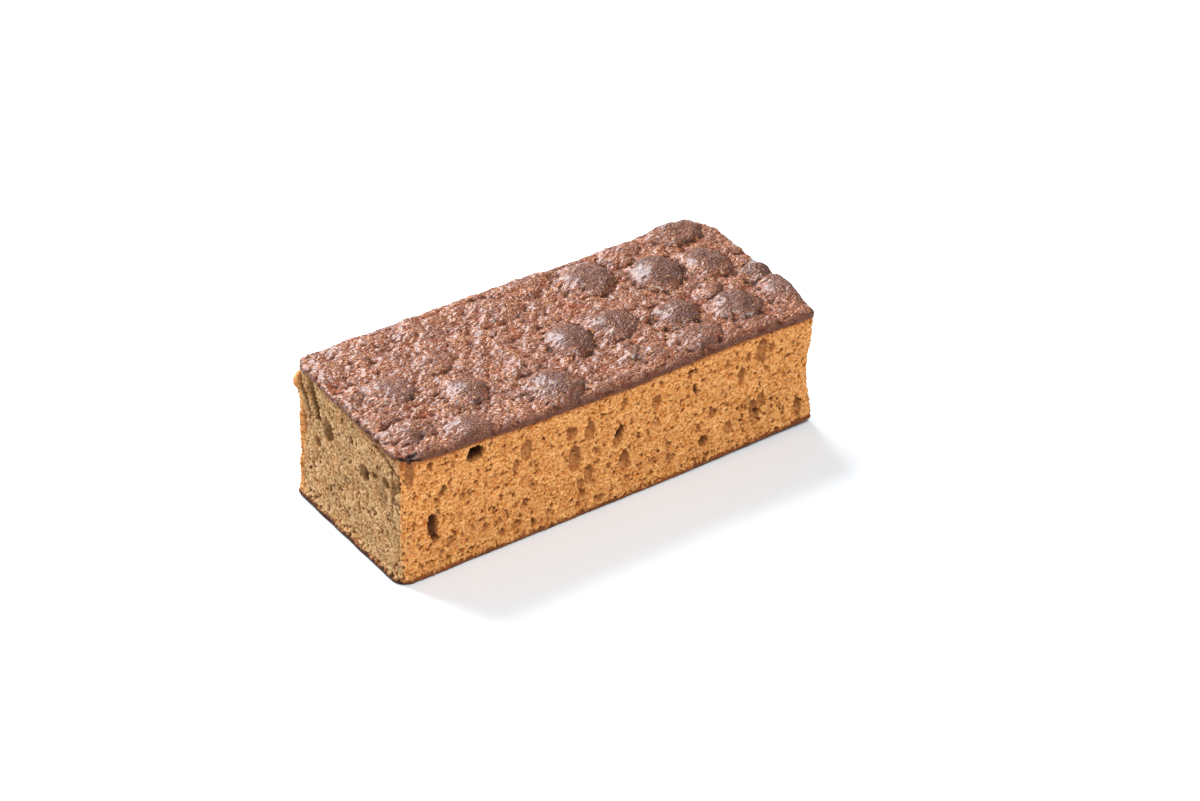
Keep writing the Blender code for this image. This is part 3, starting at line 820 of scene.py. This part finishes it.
# %% Pits of the crust
PIT_SEED = 5
PIT_COUNT = 2600
PIT_REACH = 5  # grid steps round a pit that it can touch
beyond_plan = LIP_PROUD + CRUST_BAND + (math.pi / 2 - 1.0) * LIP_RADIUS
sheet_half_x = LENGTH / 2 + beyond_plan
sheet_half_y = DEPTH / 2 + beyond_plan
pit = np.zeros_like(crust_level)
chance = random.Random(PIT_SEED)
for _ in range(PIT_COUNT):
    x = chance.uniform(-sheet_half_x, sheet_half_x)
    y = chance.uniform(-sheet_half_y, sheet_half_y)
    radius = 0.45 + 0.75 * chance.random() ** 2
    depth = radius * chance.uniform(0.3, 0.75)
    column = int((x + sheet_half_x) / (2 * sheet_half_x) * CRUST_COLUMNS)
    row = int((y + sheet_half_y) / (2 * sheet_half_y) * CRUST_ROWS)
    block = tuple(slice(max(at - PIT_REACH, 0), at + PIT_REACH + 1) for at in (row, column))
    if tight[block].size == 0 or chance.random() < 0.8 * float(tight[block].mean()):
        continue
    away = np.hypot(bent_x[block] - x, (bent_y[block] - y) * chance.uniform(0.8, 1.5)) / radius
    pit[block] = np.maximum(pit[block], depth * np.clip(1.0 - away**2, 0.0, 1.0))
crust_relief -= pit

# %% [markdown]
# The crust's light and shade are painted along its form: the floor of every crease is painted dark as shade,
# and each blister is painted darker down the flank that faces the right-hand end and the front, away from the
# light, as painted shade. Both are measured on the finished relief and handed to the finish.

# %% How far each place is sunk, and how far it faces away from the light
SURROUNDINGS = 6  # grid steps, about 2.6 mm


def local_mean(field, reach):
    """The mean of a field over a square of neighbours."""
    for axis in (0, 1):
        field = np.mean([np.roll(field, step, axis) for step in range(-reach, reach + 1)], axis=0)
    return field


swell = blister + wrinkle + crust_relief
sunken = local_mean(swell, SURROUNDINGS) - swell
steep_x = np.gradient(blister, axis=1) / (2 * sheet_half_x / CRUST_COLUMNS)
steep_y = np.gradient(blister, axis=0) / (2 * sheet_half_y / CRUST_ROWS)
# painted shade: how far a blister's flank faces the right-hand end and the front, away from the light
shaded_flank = np.clip(0.56 * steep_y - 0.83 * steep_x, 0.0, 1.0)
print("most sunken place of the crust:", round(float(sunken.max()), 1), "mm")

# %% Make the crust piece
LIP_FOLDS_IN = 1.8  # below the lip's reach the sheet turns in behind the crumb by this much
HIDDEN_INSET = 6.0  # a crust's hidden side is this much shorter and narrower than the cake

near_left = smoothstep(-90.0, -97.0, crust_x)
calm = 0.48 + 0.42 * near_left
lip_fade = smoothstep(0.0, 1.0, from_edge) * blend(calm, 1.0, smoothstep(3.0, 10.0, from_edge))
crust_places = np.stack((crust_x, crust_y, crust_level), axis=-1)
crust_places = crust_places + crust_out * (crust_relief * lip_fade)[..., None]
foot_wave = layered(crust_x, crust_y, 0.0, (0.5, 5.0, 28), (0.45, 1.8, 29))
foot_wave *= 1.0 + 1.3 * near_left
crust_places[..., 2] += foot_wave * (1.0 - smoothstep(0.0, CRUST_BAND, from_edge))
past_reach = crust_drop + foot_wave - lip_reach_at(crust_x, crust_y)
folded = LIP_FOLDS_IN * smoothstep(0.5, 1.1, past_reach)
plan_out = crust_out[..., :2] / np.maximum(np.linalg.norm(crust_out[..., :2], axis=-1), 1e-6)[..., None]
crust_places[..., :2] -= plan_out * folded[..., None]


def drawn_in(rise):
    """A crust's hidden side: drawn in from its foot all round, and raised by this much."""
    return lambda x, y, z: (x * (1.0 - HIDDEN_INSET / LENGTH), y * (1.0 - HIDDEN_INSET / DEPTH), z + rise)


crust_piece = closed_piece(
    "crust",
    crust_places,
    {
        "blister": blister,
        "relief": crust_relief,
        "sunken": sunken,
        "shaded_flank": shaded_flank,
        "dark_notch": dark_notch,
        "from_edge": from_edge * (1.0 + near_left),
    },
    drawn_in(-0.5),
)

# %% [markdown]
# ## The base crust
# The slab was baked on a lined tray, so its underside is a thin, dry, almost flat dark skin that turns up
# a millimetre or two round the edge. It is the same wrap as the top crust, turned over.

# %% Make the base crust piece
BASE_COLUMNS = 300
BASE_ROWS = 130
BASE_BAND = 1.1
LEFT_BASE_BAND = 0.5  # the skin turns up less at the left end
BASE_PROUD = 0.12
BASE_TUCK = 0.5
BASE_CROWDING = 0.85


def crowded(divisions):
    """Divides -1..1 so that the divisions lie closer together towards both ends."""
    t = np.linspace(-1.0, 1.0, divisions + 1)
    return blend(t, np.sin(t * math.pi / 2), BASE_CROWDING)


u, v = np.meshgrid(crowded(BASE_COLUMNS), crowded(BASE_ROWS))
base_half_x, base_half_y = half_sizes(u, v, 0.0 * u)
base_band = blend(BASE_BAND, LEFT_BASE_BAND, smoothstep(-0.85, -0.97, u))
base_ragged = CRUMB_RAGGED * lumps(u * LENGTH / 2, v * DEPTH / 2, 1.0, CRUMB_RAGGED_SPAN, 2)
base_x, base_y, base_rise, base_out, sheet_x, sheet_y, base_from_edge = wrap(
    u,
    v,
    base_half_x + BASE_PROUD + base_ragged,
    base_half_y + BASE_PROUD + base_ragged,
    corner_radius(u, v, 0.0),
    BASE_ROUND,
    base_band,
    BASE_TUCK,
)
flare_lost = base_half_x - half_sizes(u, v, base_rise)[0]
base_x = base_x - np.sign(u) * flare_lost * smoothstep(3.0, 0.0, base_from_edge)
base_level = base_height(base_x, base_y) + base_rise
base_edge = smoothstep(2.2, 0.0, base_from_edge)
base_relief = layered(sheet_x, sheet_y, 0.0, (0.16, 1.4, 31), (0.12, 0.7, 32))
base_relief = np.minimum(base_relief, 0.0) * (1.0 - base_edge) + base_relief * base_edge
base_wave = layered(base_x, base_y, 0.0, (0.5, 5.0, 33), (0.25, 1.6, 34))
base_places = np.stack((base_x, base_y, base_level), axis=-1)
base_outward = base_out * (1.0, 1.0, -1.0)
base_places = base_places + base_outward * base_relief[..., None]
base_places[..., 2] += base_wave * (1.0 - smoothstep(0.0, 1.0, base_from_edge / base_band))

base_attributes = {"left_end": smoothstep(-97.0, -100.5, base_x)}
base_piece = closed_piece("base_crust", base_places, base_attributes, drawn_in(0.4))

# %% [markdown]
# ## Writing finishes as expressions
# A finish is a small program of nodes. One class wraps a socket, so that sums read as sums, and another
# adds any node from its type, its settings and its inputs.


# %% Shader maths
class Value:
    """A socket that carries a number, a colour or a vector through a finish."""

    def __init__(self, owner, socket):
        self.owner = owner
        self.socket = socket

    def math(self, operation, *values):
        return self.owner.node("ShaderNodeMath", {"operation": operation}, dict(enumerate(values)))

    def __add__(self, other):
        return self.math("ADD", self, other)

    def __radd__(self, other):
        return self.math("ADD", other, self)

    def __sub__(self, other):
        return self.math("SUBTRACT", self, other)

    def __rsub__(self, other):
        return self.math("SUBTRACT", other, self)

    def __mul__(self, other):
        return self.math("MULTIPLY", self, other)

    def __rmul__(self, other):
        return self.math("MULTIPLY", other, self)


class Finish:
    """A material under construction."""

    def __init__(self, name):
        self.material = bpy.data.materials.new(name)
        self.material.use_nodes = True
        self.tree = self.material.node_tree
        self.shader = self.tree.nodes["Principled BSDF"]
        self.place = self.node("ShaderNodeTexCoord", output="Object")
        self.colour = None

    def node(self, kind, settings=None, inputs=None, output=0):
        """Any node: its type, its settings, which are set first, and the values or links of its sockets."""
        node = self.tree.nodes.new(kind)
        for key, setting in (settings or {}).items():
            setattr(node, key, setting)
        self.connect(node, inputs or {})
        return Value(self, node.outputs[output])

    def connect(self, node, inputs):
        for key, item in inputs.items():
            if isinstance(item, Value):
                self.tree.links.new(item.socket, node.inputs[key])
            else:
                node.inputs[key].default_value = item

    def attribute(self, name):
        return self.node("ShaderNodeAttribute", {"attribute_name": name}, output="Fac")

    def noise(self, size, detail=2.0, roughness=0.55):
        """Noise from 0 to 1 whose lumps are size millimetres across."""
        inputs = {"Vector": self.place, "Scale": 1.0 / (size * MM), "Detail": detail}
        inputs["Roughness"] = roughness
        return self.node("ShaderNodeTexNoise", inputs=inputs)

    def spots(self, size):
        """Distance from the nearest of many scattered points, about size millimetres apart."""
        inputs = {"Vector": self.place, "Scale": 1.0 / (size * MM)}
        return self.node("ShaderNodeTexVoronoi", {"feature": "F1"}, inputs, output="Distance")

    def stretch(self, x, y, z):
        """From here on, every pattern is squeezed by these factors: below 1 draws it out."""
        inputs = {0: self.place, 1: (x, y, z)}
        self.place = self.node("ShaderNodeVectorMath", {"operation": "MULTIPLY"}, inputs)

    def folds(self, size):
        """0 along sharp creases, rising to about 1 on the rounded folds of skin between them."""
        around_zero = self.noise(size, 1.0) - 0.5
        return around_zero.math("ABSOLUTE", around_zero) * 3.0

    def ramp(self, value, low, high, start=0.0, end=1.0):
        """Follows value from low to high, smoothly, as start to end."""
        inputs = {0: value, 1: low, 2: high, 3: start, 4: end}
        return self.node("ShaderNodeMapRange", {"interpolation_type": "SMOOTHSTEP"}, inputs)

    def mix(self, share, first, second):
        """From the first colour to the second, or from the first number to the second."""
        if isinstance(second, float):
            return first + (second - first) * share
        inputs = {0: share, 6: first, 7: second}
        return self.node("ShaderNodeMix", {"data_type": "RGBA"}, inputs, output=2)

    def lay(self, share, colour):
        """Lays a colour over this share of what is painted so far."""
        self.colour = self.mix(share, self.colour, colour)

    def bump(self, height, distance, strength=1.0):
        inputs = {"Height": height, "Distance": distance * MM, "Strength": strength}
        return self.node("ShaderNodeBump", inputs=inputs)

    def finish(self, *pieces, **sockets):
        """Wires up the shader and gives the finish to its pieces."""
        sockets["Base_Color"] = self.colour
        self.connect(self.shader, {key.replace("_", " "): item for key, item in sockets.items()})
        for piece in pieces:
            piece.data.materials.append(self.material)


def srgb(red, green, blue):
    """A colour as a painter would name it, 0 to 255, in the linear values that a shader takes."""
    linear = [((c / 255 + 0.055) / 1.055) ** 2.4 if c > 10 else c / 255 / 12.92 for c in (red, green, blue)]
    return (*linear, 1.0)


# %% [markdown]
# ## Crumb
# The crumb is orange tan and quite matt. Light and shade are painted into it: the grains that stand proud and
# the tops of its fine bumps are painted lighter, and the pores and holes browner and darker the deeper they
# go, partly their own colour and partly painted shade. The skin of a large bubble is smooth and a dull brown,
# painted darker towards the top of its cup as shade. The last millimetres under the crust are a deeper
# orange, and those over the base crust go dark brown. The left end is painted a greyer, cooler tan, as
# painted light for the dimmer, cooler light that falls on it.

# %% Crumb finish
crumb = Finish("honey_cake_crumb")
hollow = crumb.attribute("hollow")
wall = crumb.attribute("smooth_wall")
speckle = crumb.noise(1.1, 2.0, 0.55)
patches = crumb.noise(9.0, 2.0)
fine_pores = crumb.ramp(crumb.spots(1.7), 0.14, 0.26, 1.0, 0.0)
proud = crumb.ramp(crumb.attribute("grain"), -0.3, 0.45)
left_share = crumb.attribute("left_end")

# painted light and shade: the grains that stand proud and the tops of the fine bumps are painted lighter, the
# low places darker
lit = crumb.ramp(speckle, 0.36, 0.64) * 0.5 + proud * 0.5
crumb.colour = crumb.mix(lit, srgb(180, 100, 30), srgb(246, 184, 114))
# painted light: the left end is painted a greyer, cooler tan, standing in for the cooler, dimmer light that
# falls on that end
crumb.lay(left_share, crumb.mix(lit, srgb(144, 98, 48), srgb(232, 192, 140)))
crumb.lay(crumb.ramp(patches, 0.35, 0.75, 0.0, 0.3), srgb(216, 146, 84))
# painted shade: the colour laid into pores and holes, partly the crumb's own browner colour and partly
# painted shade
pore_shade = crumb.mix(left_share, srgb(128, 64, 18), srgb(104, 66, 32))
crumb.lay(fine_pores * (1.0 - wall) * 0.5, pore_shade)
# the skin of a bubble: its own duller brown, painted darker towards the cup's top as shade
skin = crumb.mix(speckle, srgb(138, 90, 54), srgb(176, 122, 78))
left_skin = crumb.mix(speckle, srgb(134, 98, 58), srgb(172, 132, 86))
crumb.lay(wall * 0.9, crumb.mix(left_share, skin, left_skin))
crumb.lay(crumb.ramp(hollow, 0.2, 1.2, 0.0, 0.6) * (1.0 - wall), pore_shade)
# painted shade: pores and holes grow darker the deeper they go, nearly black in the deepest holes
crumb.lay(crumb.ramp(crumb.attribute("pore"), 0.25, 0.9, 0.0, 0.8), srgb(104, 52, 18))
crumb.lay(crumb.ramp(hollow, 2.6, 6.0, 0.0, 0.7), srgb(78, 42, 16))
crumb.lay(crumb.ramp(crumb.attribute("deep"), 0.5, 4.2, 0.0, 0.92), srgb(62, 31, 12))
# painted shade: the holes and flutes of the left end are darkened by their depth
crumb.lay(crumb.ramp(hollow, 0.8, 3.6, 0.0, 0.6) * left_share, srgb(88, 56, 28))
browned = crumb.ramp(crumb.attribute("under_crust") + speckle * 3.0, 2.0, 4.4, 1.0, 0.0)
crumb.lay(browned * (0.85 - left_share * 0.45), srgb(150, 80, 36))
scorched = crumb.ramp(crumb.attribute("over_base") + speckle * 4.0, 2.2, 4.6, 1.0, 0.0)
crumb.lay(scorched * 0.8, srgb(122, 62, 22))
crumb_bump = crumb.bump((speckle - fine_pores * 0.7) * (1.0 - wall * 0.6), 0.7, 1.0)
crumb.finish(*crumb_pieces, Roughness=0.85, Specular_IOR_Level=0.2, Normal=crumb_bump)

# %% [markdown]
# ## Crust
# The crust is red brown: darker and more purple on the blisters, which browned most, and orange brown in the
# shallow wrinkles. Light and shade are painted into it too: the tops of its fine bumps and its convex places
# are painted lighter, its creases and sunken places nearly black, each blister's flank that faces away from
# the light darker, and the lip that hangs over the edge darker, partly its own colour and partly painted
# shade. A faint glaze of sugar makes its raised parts satin; the creases and the lip are dull. Small light
# golden specks are scattered over it.

# %% Crust finish
crust = Finish("honey_cake_crust")
raised = crust.ramp(crust.attribute("blister"), 0.5, 3.6)
sunken = crust.attribute("sunken")
height_of_relief = crust.attribute("relief")
golden_specks = crust.ramp(crust.spots(1.9), 0.1, 0.22, 1.0, 0.0)
patches = crust.noise(7.0, 2.0)
crust.stretch(1.0 / DRAWN_OUT, 1.0, 1.0)
speckle = crust.noise(0.8, 1.0, 0.6)
fold = crust.folds(1.5)
# painted light and shade: the colour follows the fine bump, lighter on its tops and darker between them
crust.colour = crust.mix(crust.ramp(speckle, 0.36, 0.64), srgb(124, 63, 34), srgb(196, 130, 90))
# painted light: convex places, which stand above their surroundings, are lighter
crust.lay(crust.ramp(sunken, 0.0, -0.7, 0.0, 0.35), srgb(204, 148, 114))
crust.lay(crust.ramp(patches, 0.38, 0.62, 0.0, 0.5), srgb(118, 70, 54))
crust.lay(raised * 0.72, srgb(88, 52, 44))
# painted shade: each blister's flank that faces away from the light is darker
crust.lay(crust.ramp(crust.attribute("shaded_flank"), 0.08, 0.55, 0.0, 0.68), srgb(74, 42, 34))
# painted shade: the creases between the folds are dark
crust.lay(crust.ramp(fold, 0.18, 0.0, 0.0, 0.8), srgb(62, 27, 13))
crust.lay(crust.ramp(height_of_relief, 0.05, -0.4, 0.0, 0.7) * (1.0 - raised), srgb(150, 72, 32))
# painted shade: sunken places and the floors of creases go nearly black
crust.lay(crust.ramp(sunken, 0.12, 0.8, 0.0, 0.9), srgb(52, 23, 11))
# small light golden specks scattered over the crust
crust.lay(golden_specks * 0.7, srgb(226, 172, 104))
# the lip is darker: partly the crust's own colour at its edge, partly painted shade, since it faces away from
# the light
lip = crust.ramp(crust.attribute("from_edge"), 1.5, 5.2, 1.0, 0.0)
crust.lay(lip * 0.75, srgb(88, 42, 26))
foot = crust.ramp(crust.attribute("from_edge") + speckle * 2.0, 1.2, 3.0, 1.0, 0.0)
crust.lay(foot * 0.6, srgb(126, 62, 28))
# the dent at the near corner's broken edge is painted nearly black
notch_darkness = crust.ramp(crust.attribute("dark_notch") + speckle * 0.3, 0.35, 0.65)
crust.lay(notch_darkness * 0.92, srgb(46, 20, 11))
sunk = crust.ramp(sunken, 0.0, 0.6)
crust_rough = crust.mix(sunk, crust.ramp(speckle, 0.3, 0.7, 0.38, 0.52), 0.8)
crust_bump = crust.bump((speckle + fold * 1.2) * (1.0 - raised * 0.25), 0.88, 1.0)
glaze = (0.7 - sunk * 0.6) * (1.0 - lip)
crust.finish(
    crust_piece,
    Roughness=crust_rough,
    Specular_IOR_Level=0.35,
    Coat_Weight=glaze,
    Coat_Roughness=0.3,
    Normal=crust_bump,
)

# %% [markdown]
# ## Base crust
# Dry and matt, dark brown with scorched patches, and almost black where it turns up the left end.

# %% Base crust finish
base = Finish("honey_cake_base_crust")
speckle = base.noise(0.7, 3.0, 0.7)
patches = base.noise(12.0, 3.0)
base.colour = base.mix(base.ramp(speckle, 0.3, 0.7), srgb(96, 48, 20), srgb(146, 80, 36))
base.lay(base.ramp(patches, 0.4, 0.7, 0.0, 0.6), srgb(78, 44, 26))
base.lay(base.attribute("left_end") * 0.8, srgb(34, 17, 9))
base.finish(base_piece, Roughness=0.8, Specular_IOR_Level=0.2, Normal=base.bump(speckle, 0.2, 0.7))

# %% [markdown]
# ## Studio
# A pale floor and soft light: a bright sky all round, a broad softbox high behind the cake, whose light
# glances off the glazed crust, and a smaller one high in front, which fills the long cut face.

# %% Floor and lights
FLOOR_HALF = 3.0
FLOOR_WHITE = (0.83, 0.843, 0.848, 1.0)
SKY_COLOUR = (0.98, 1.0, 1.02, 1.0)
SKY_STRENGTH = 0.31
LAMP_TARGET = Vector((0, 0, 0.03))

scene = bpy.context.scene
scene.view_settings.view_transform = "Standard"


def floor_piece():
    data = grid_mesh(1, 1)[0]
    data.transform(Matrix.Scale(FLOOR_HALF, 4))
    data.name = "floor"
    material = bpy.data.materials.new("floor_white")
    material.use_nodes = True
    shader = material.node_tree.nodes["Principled BSDF"]
    shader.inputs["Base Color"].default_value = FLOOR_WHITE
    shader.inputs["Roughness"].default_value = 0.9
    data.materials.append(material)
    floor = bpy.data.objects.new("floor", data)
    scene.collection.objects.link(floor)


def aimed(name, data, target, azimuth, elevation, distance):
    """A lamp or a camera that looks at target; azimuth 0 is in front of the long face, 90 to its right."""
    a, e = math.radians(azimuth), math.radians(elevation)
    back = Vector((math.sin(a) * math.cos(e), -math.cos(a) * math.cos(e), math.sin(e)))
    item = bpy.data.objects.new(name, data)
    item.location = target + back * distance
    item.rotation_mode = "QUATERNION"
    item.rotation_quaternion = back.to_track_quat("Z", "Y")
    scene.collection.objects.link(item)
    return item


def softbox(name, azimuth, elevation, distance, size, power, colour):
    """A square soft light aimed at the cake."""
    light = bpy.data.lights.new(name, "AREA")
    light.energy = power
    light.size = size
    light.color = colour
    aimed(name, light, LAMP_TARGET, azimuth, elevation, distance)


floor_piece()
sky = bpy.data.worlds.new("studio_sky")
sky.use_nodes = True
sky.node_tree.nodes["Background"].inputs["Color"].default_value = SKY_COLOUR
sky.node_tree.nodes["Background"].inputs["Strength"].default_value = SKY_STRENGTH
scene.world = sky
softbox("window", -170, 42, 1.2, 0.85, 31.0, (0.95, 0.99, 1.06))
softbox("front_fill", -12, 55, 1.4, 0.45, 15.8, (0.96, 1.0, 1.03))

# %% [markdown]
# ## Camera
# The view looks down on the near corner between the left end and the long face. The lens is long, so the
# far end looks little smaller than the near one.

# %% Camera
VIEW_AZIMUTH = -34.34
VIEW_ELEVATION = 35.24
VIEW_DISTANCE = 1.90905
VIEW_TARGET = Vector((0.012202, -0.01356, 0.0310))
LENS = 141.0

camera_data = bpy.data.cameras.new("camera")
camera_data.lens = LENS
camera_data.sensor_width = 36.0
scene.camera = aimed("camera", camera_data, VIEW_TARGET, VIEW_AZIMUTH, VIEW_ELEVATION, VIEW_DISTANCE)
